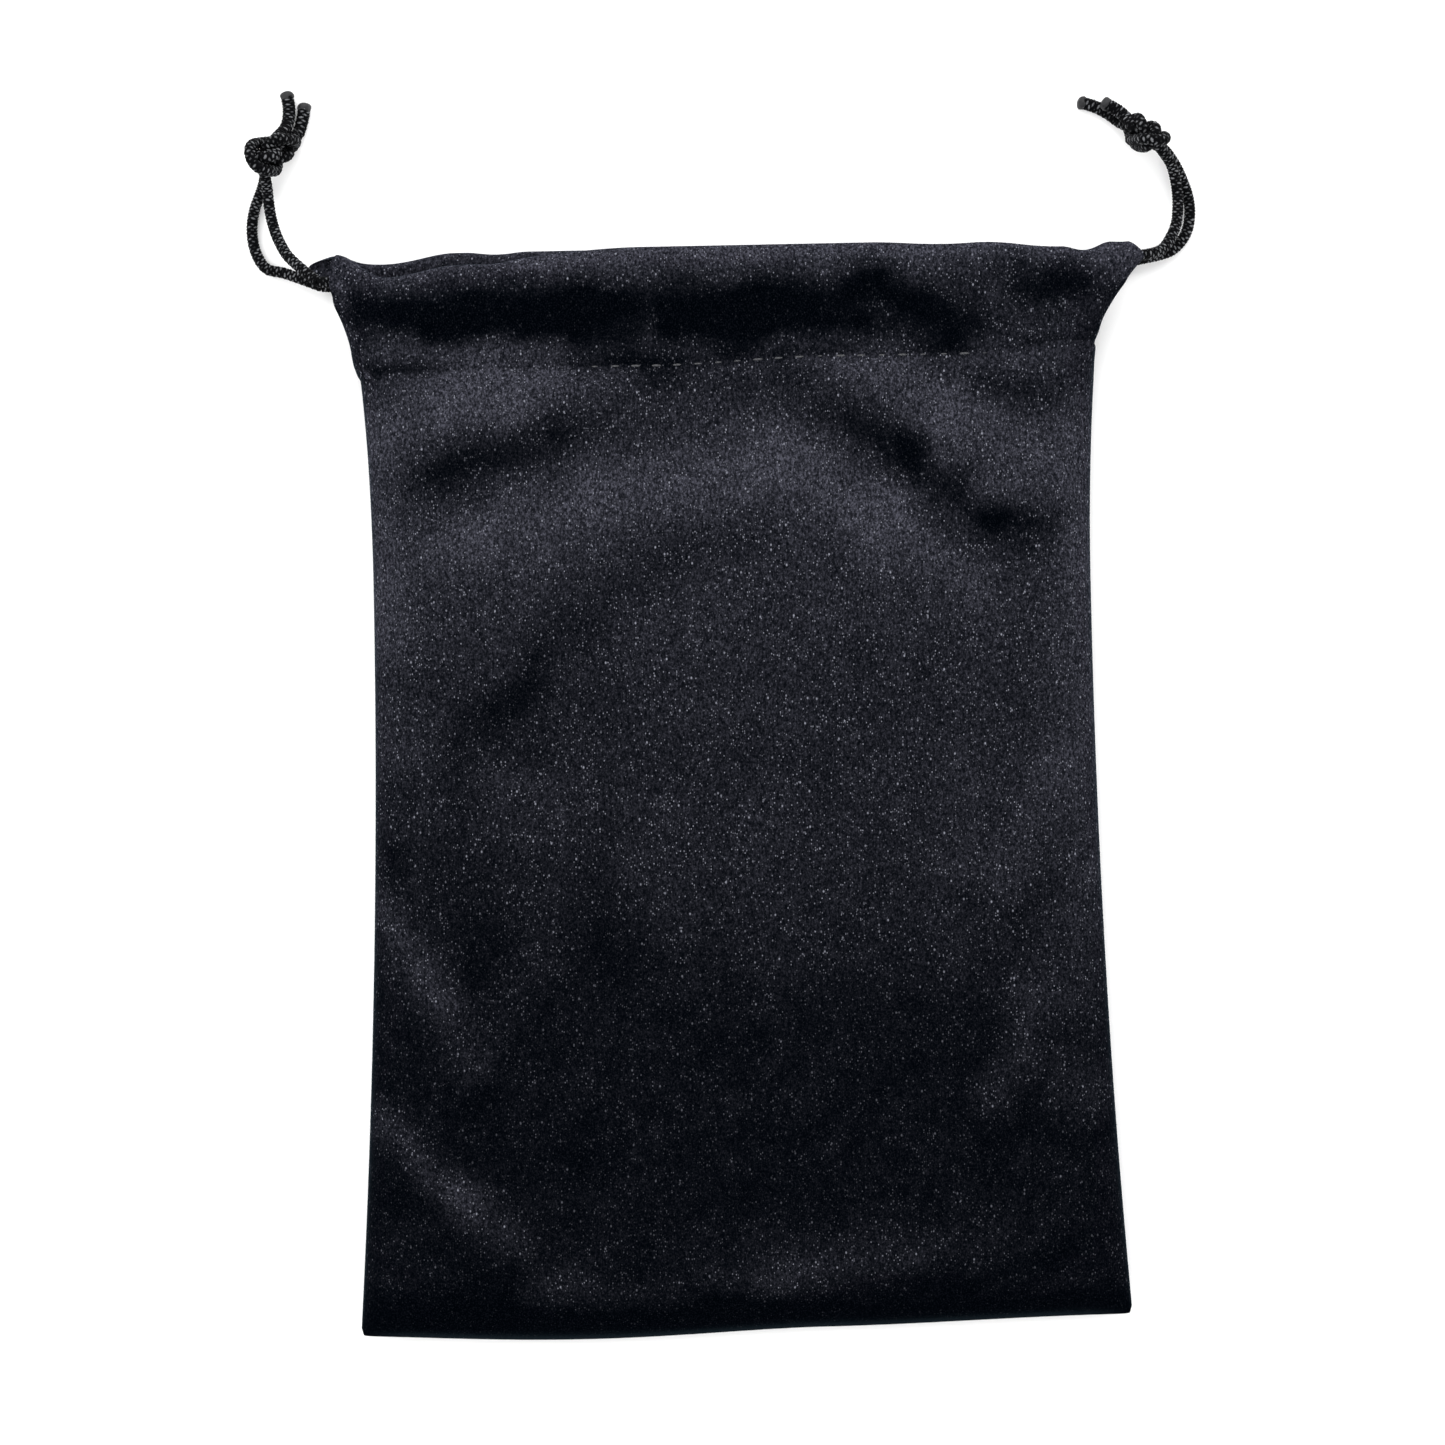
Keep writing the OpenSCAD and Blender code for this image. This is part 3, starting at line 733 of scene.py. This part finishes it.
def sheet_rows(section, step=0.55):
    """For every grid point of a cloth: x, distance up from the stitching, z, half width, and how far it
    belongs to the part that is folded inside, 0 to 1.
    """
    s = columns()[None, :]
    y_panel = np.arange(BOTTOM_Y, HEM_Y - 0.5, 1.0)
    left = np.array([(up, z, w) for up, z, w, _ in section])
    right = np.array([(up, z, w) for up, z, _, w in section])
    count = len(spaced(curve_through(left, step), step))
    left, right = (evenly(curve_through(r, 0.1), count) for r in (left, right))
    up = np.concatenate([y_panel - HEM_Y, left[:, 0]])[:, None] + 0 * s
    z = np.concatenate([np.full(len(y_panel), left[0, 1]), left[:, 1]])[:, None] + 0 * s
    wide = np.concatenate([half_width(y_panel), left[:, 2]])[:, None]
    wide_right = np.concatenate([half_width(y_panel), right[:, 2]])[:, None]
    wide = np.where(s < 0, wide, wide_right)
    past_fold = smooth((np.arange(count) - left[:, 0].argmax()) / 4)
    inside = np.concatenate([np.zeros(len(y_panel)), past_fold])
    return s * wide, up, z, wide, inside[:, None] + 0 * s


def front_points():
    """The front cloth's middle surface, and its painted sheen and shade."""
    x, up, z, wide, inside = sheet_rows(FRONT_FOLD)
    panel = up < 0
    hem = hem_line(x)
    below = HEM_Y + up + (hem - HEM_Y) * smooth((up + 16) / 16)
    above = hem + up / CASING * (mouth_line(x) - front_fall(x) - hem)
    y = np.where(panel & (inside == 0), below, above)
    outer = 1 - inside
    # the dent that the stitches pull in
    groove = 0.95 * np.exp(-(((y - hem) / 2.0) ** 2))
    top = np.where(panel & (inside == 0), TOP_Z - groove, z)
    near_hem = 1 - smooth(up / 7)
    relief = strokes(x, y, RIDGES) - 0.9 * hump(y, 62, 26)
    relief = relief + 0.3 * wrinkles(x, y, 4) + 0.12 * wrinkles(x, y, 9, 9)
    top = top + relief * near_hem * outer * (1 - groove * 0.4)
    # soft pleats across the casing
    pleat = np.sin(2 * math.pi * (x + 3) / 16.6) + 0.5 * np.sin(2 * math.pi * x / 9.7 + 1)
    window = smooth(up / 3) * (1 - smooth((up - 12) / 3)) * smooth((62 - np.abs(x)) / 10)
    top = top + 0.32 * pleat * window * outer
    # the sides curve down to the seam, which climbs into the casing's open end
    edge = SEAM_Z + 5.1 * smooth((y - 66) / 12)
    edge = edge + (top - edge) * smooth((up - 8) / 4)
    round_r = 15 - 10 * smooth((y - 58) / 14)
    swell = rounded((wide - np.abs(x)) / round_r) * rounded((y - BOTTOM_Y) / 17)
    z = np.where(inside > 0.5, z, edge + (top - edge) * swell)
    # the front cloth's painted sheen and shade, on its outer side only
    painted_light = (strokes(x, y, PAINTED_LIGHT_MARKS, 1.6) + painted_light_falls(y)) * outer
    return np.stack([x, y + bottom_shift(x, y), z], 2), painted_light


def back_points():
    """The back cloth's middle surface: flat on the table, its edges rising to the seams."""
    x, up, z, wide, inside = sheet_rows(BACK_FOLD)
    panel = (up < 0) & (inside == 0)
    rise = 0.4 * smooth((-10 - x) / 14)
    y = HEM_Y + np.where(panel, up, up / CASING * (mouth_line(x) + rise - HEM_Y))
    low = np.where(panel, 0.42 + 0.2 * np.exp(-(((y - HEM_Y) / 2.0) ** 2)), z)
    # the sides rise to the seam, which sinks again towards the casing's open end
    edge = SEAM_Z - 3.1 * smooth((y - 66) / 12)
    edge = edge + (low - edge) * smooth((up - 8) / 4)
    swell = rounded((wide - np.abs(x)) / 9) * rounded((y - BOTTOM_Y) / 9)
    z = np.where(inside > 0.5, z, edge + (low - edge) * swell)
    z = z + np.where(panel, 0.25 * (1 + wrinkles(x, y, 12, 30)) * swell * smooth((60 - y) / 20), 0)
    # painted sheen and shade on the back cloth: random lighter and darker patches, and a lighter painted
    # patch inside the left corner's fold, where it lies in shade
    painted_light = 0.35 * wrinkles(x, y, 21, 60) * (1 - inside) + 0.25 * inside * smooth((-60 - x) / 5)
    return np.stack([x, y + bottom_shift(x, y), z], 2), painted_light


def grid_normals(points, sign):
    """Directions straight out of a cloth at each of its grid points, up for sign 1 and down for -1."""
    down = np.gradient(points, axis=0)
    right = np.gradient(points, axis=1)
    return unit(np.cross(right, down)) * sign


BACKING = 0.3                        # the painted sheen's value for the cloth's wrong side, which is plain knit


def shell(name, middle, normals, painted_light, side):
    """A closed cloth of even thickness about its middle surface."""
    rows, cols = middle.shape[:2]
    face, back = middle + normals * CLOTH_T / 2, middle - normals * CLOTH_T / 2
    points = np.concatenate([face.reshape(-1, 3), back.reshape(-1, 3)])
    points[:, 2] = np.maximum(points[:, 2], 0.01)
    count = rows * cols
    faces = grid_faces(rows, cols, flip=side < 0) + grid_faces(rows, cols, first=count, flip=side > 0)
    top, bottom = np.arange(cols), (rows - 1) * cols + np.arange(cols)
    first, last = np.arange(rows) * cols, np.arange(rows) * cols + cols - 1
    for line, turned in ((top, True), (bottom, False), (first, False), (last, True)):
        for a, b in zip(line[:-1].tolist(), line[1:].tolist()):
            wall = (a, b, b + count, a + count)
            faces.append(wall if turned == (side < 0) else wall[::-1])
    flat = normals.reshape(-1, 3)
    obj = make_mesh(name, points, faces, VELVET, np.concatenate([flat, -flat]))
    # the painted sheen and shade for each vertex; the wrong side gets one even value
    store(obj.data, "painted_light", "FLOAT", np.concatenate([painted_light.ravel(), np.full(count, BACKING)]))
    return obj


def cinch(obj):
    """Bakes the object's place into its mesh."""
    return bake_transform(obj)


SIDES = (("left", -1), ("right", 1))


def make_cloth(ply, grid, sign):
    """Front or back cloth in two halves that meet in the middle."""
    points, painted_light = grid
    normals = grid_normals(points, sign)
    half = points.shape[1] // 2
    for name, side in SIDES:
        part = slice(0, half + 1) if side < 0 else slice(half, None)
        obj = shell(f"{ply}_cloth_{name}", points[:, part], normals[:, part], painted_light[:, part], sign)
        cinch(obj)
        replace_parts(obj, ply + "_panel", ply + "_casing")


def thread_row(name, starts, ends, nodes, bend, body_side=None):
    """Stitches: short threads that dive into the cloth at their ends."""
    sides, rings = 7, 9
    u = np.linspace(0, 1, rings)
    points, faces = [], []
    for a, b in zip(starts, ends):
        line = a + (b - a) * u[:, None] + np.outer(1 - np.sin(math.pi * u) ** 0.5, bend)
        across = unit(np.cross(b - a, bend))
        other = unit(np.array(bend, float))
        radius = THREAD_R * (0.35 + 0.65 * np.sin(math.pi * u) ** 0.4)
        first = len(points) * rings * sides
        angle = 2 * math.pi * np.arange(sides) / sides
        ring = across * np.cos(angle)[:, None] + other * np.sin(angle)[:, None]
        points.append(line[:, None] + ring[None] * radius[:, None, None])
        faces += grid_faces(rings, sides, wrap=True, first=first)
        last = first + (rings - 1) * sides
        faces += [tuple(range(first, first + sides))[::-1], tuple(range(last, last + sides))]
    obj = make_mesh(name, np.concatenate([p.reshape(-1, 3) for p in points]), faces, THREAD)
    if body_side is None:
        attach(obj, "bag")
    else:
        cinch(obj)
    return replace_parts(obj, *nodes)


def hem_stitches(ply, points, sign):
    """The row that closes a casing, in two halves. Towards both sides its stitches sink into the pile."""
    up = np.abs(points[:, points.shape[1] // 2, 1] - hem_line(0) * (sign > 0) - HEM_Y * (sign < 0))
    row = points[up.argmin()]
    random = np.random.default_rng(5)
    for name, side in SIDES:
        xs = side * np.arange(0.4, 58.5, STITCH_PITCH)
        depth = 0.02 + 0.12 * random.random(len(xs))

        def at(x):
            sunk = depth + 0.4 * smooth((-19 - x) / 14) + 0.4 * smooth((x - 40) / 12)
            z = np.interp(x, row[:, 0], row[:, 2]) + sign * (CLOTH_T / 2 - sunk)
            return np.stack([x, np.interp(x, row[:, 0], row[:, 1]), z], 1)
        thread_row(f"{ply}_hem_stitches_{name}", at(xs), at(xs + side * STITCH_L),
                   [ply + "_hem_stitching"], (0, 0, -0.4 * sign), side)


def allowance(name, seam, inward, node, side=None, deep=5.6):
    """The two cloth edges turned inside a seam, as one soft strip."""
    across = np.linspace(0, 1, 8)
    wave = 0.25 * np.sin(np.arange(len(seam)) * 0.35)
    middle = seam[:, None] + inward[:, None] * (0.9 + deep * across)[None, :, None]
    middle[..., 2] += wave[:, None] * across[None] + 0.3
    normals = grid_normals(middle, 1)
    normals *= np.sign(normals[..., 2:3])
    turned = np.cross(middle[1, 0] - middle[0, 0], middle[0, 1] - middle[0, 0])[2]
    obj = shell(name, middle, normals, np.zeros(middle.shape[:2]), -1 if turned > 0 else 1)
    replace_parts(obj, node)
    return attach(obj, "bag") if side is None else cinch(obj)


STITCH_OVER_SEAM = 0.75              # how high above a seam its stitches lie


def make_seams():
    """The hidden seams at the sides and the bottom: turned-in cloth and a row of thread."""
    ys = np.arange(BOTTOM_Y + 1.5, HEM_Y - 1.5, 1.0)
    stitch_y = np.arange(BOTTOM_Y + 3, HEM_Y - 5, STITCH_PITCH)
    for name, side in SIDES:
        seam = np.stack([side * half_width(ys), ys, np.full_like(ys, SEAM_Z)], 1)
        inward = np.tile([-side, 0.0, 0.0], (len(ys), 1))
        allowance(name + "_allowance_strip", seam, inward, name + "_seam_allowance", side)
        stitch_x = side * (half_width(stitch_y) - 1.6)
        starts = np.stack([stitch_x, stitch_y, np.full_like(stitch_y, SEAM_Z + STITCH_OVER_SEAM)], 1)
        thread_row(name + "_seam_threads", starts, starts + [0, STITCH_L, 0], [name + "_seam_stitching"],
                   (0, 0, -0.4), side)
    xs = np.arange(-BOTTOM_W / 2 + 3, BOTTOM_W / 2 - 2.5, 1.0)
    seam = np.stack([xs, BOTTOM_Y + bottom_shift(xs, BOTTOM_Y), np.full_like(xs, SEAM_Z)], 1)
    inward = np.tile([0.0, 1.0, 0.0], (len(xs), 1))
    allowance("bottom_allowance_strip", seam, inward, "bottom_seam_allowance")
    stitch_x = np.arange(-BOTTOM_W / 2 + 4, BOTTOM_W / 2 - 6, STITCH_PITCH)
    stitch_y = BOTTOM_Y + 1.6 + bottom_shift(stitch_x, BOTTOM_Y)
    starts = np.stack([stitch_x, stitch_y, np.full_like(stitch_x, SEAM_Z + STITCH_OVER_SEAM)], 1)
    thread_row("bottom_seam_threads", starts, starts + [STITCH_L, 0, 0], ["bottom_seam_stitching"],
               (0, 0, -0.4))


front, back = front_points(), back_points()
make_cloth("front", front, 1)
make_cloth("back", back, -1)
hem_stitches("front", front[0], 1)
hem_stitches("back", back[0], -1)
make_seams()


# ---------------------------------------------------------------- floor and light

def make_floor():
    half = 12.0 / MM / 2
    corners = [(-half, -half, 0), (half, -half, 0), (half, half, 0), (-half, half, 0)]
    obj = make_mesh("floor", corners, [(0, 1, 2, 3)], floor_material())


def area_light(name, place, aim, size, power):
    data = bpy.data.lights.new(name, "AREA")
    data.shape, data.size, data.energy = "DISK", size, power
    obj = bpy.data.objects.new(name, data)
    obj.location = place
    obj.rotation_euler = (Vector(aim) - Vector(place)).to_track_quat("-Z", "Y").to_euler()
    bpy.context.scene.collection.objects.link(obj)


def make_world(strength):
    world = bpy.data.worlds.new("studio")
    world.use_nodes = True
    background = world.node_tree.nodes["Background"]
    background.inputs["Color"].default_value = (1, 1, 1, 1)
    background.inputs["Strength"].default_value = strength
    bpy.context.scene.world = world


make_floor()
make_world(1.5)
area_light("key", (0.05, 0.62, 0.42), (0, 0.02, 0), 0.7, 3.0)
area_light("fill", (-0.45, 0.1, 0.6), (0, 0, 0), 0.6, 1.5)
bpy.context.scene.view_settings.view_transform = "Standard"
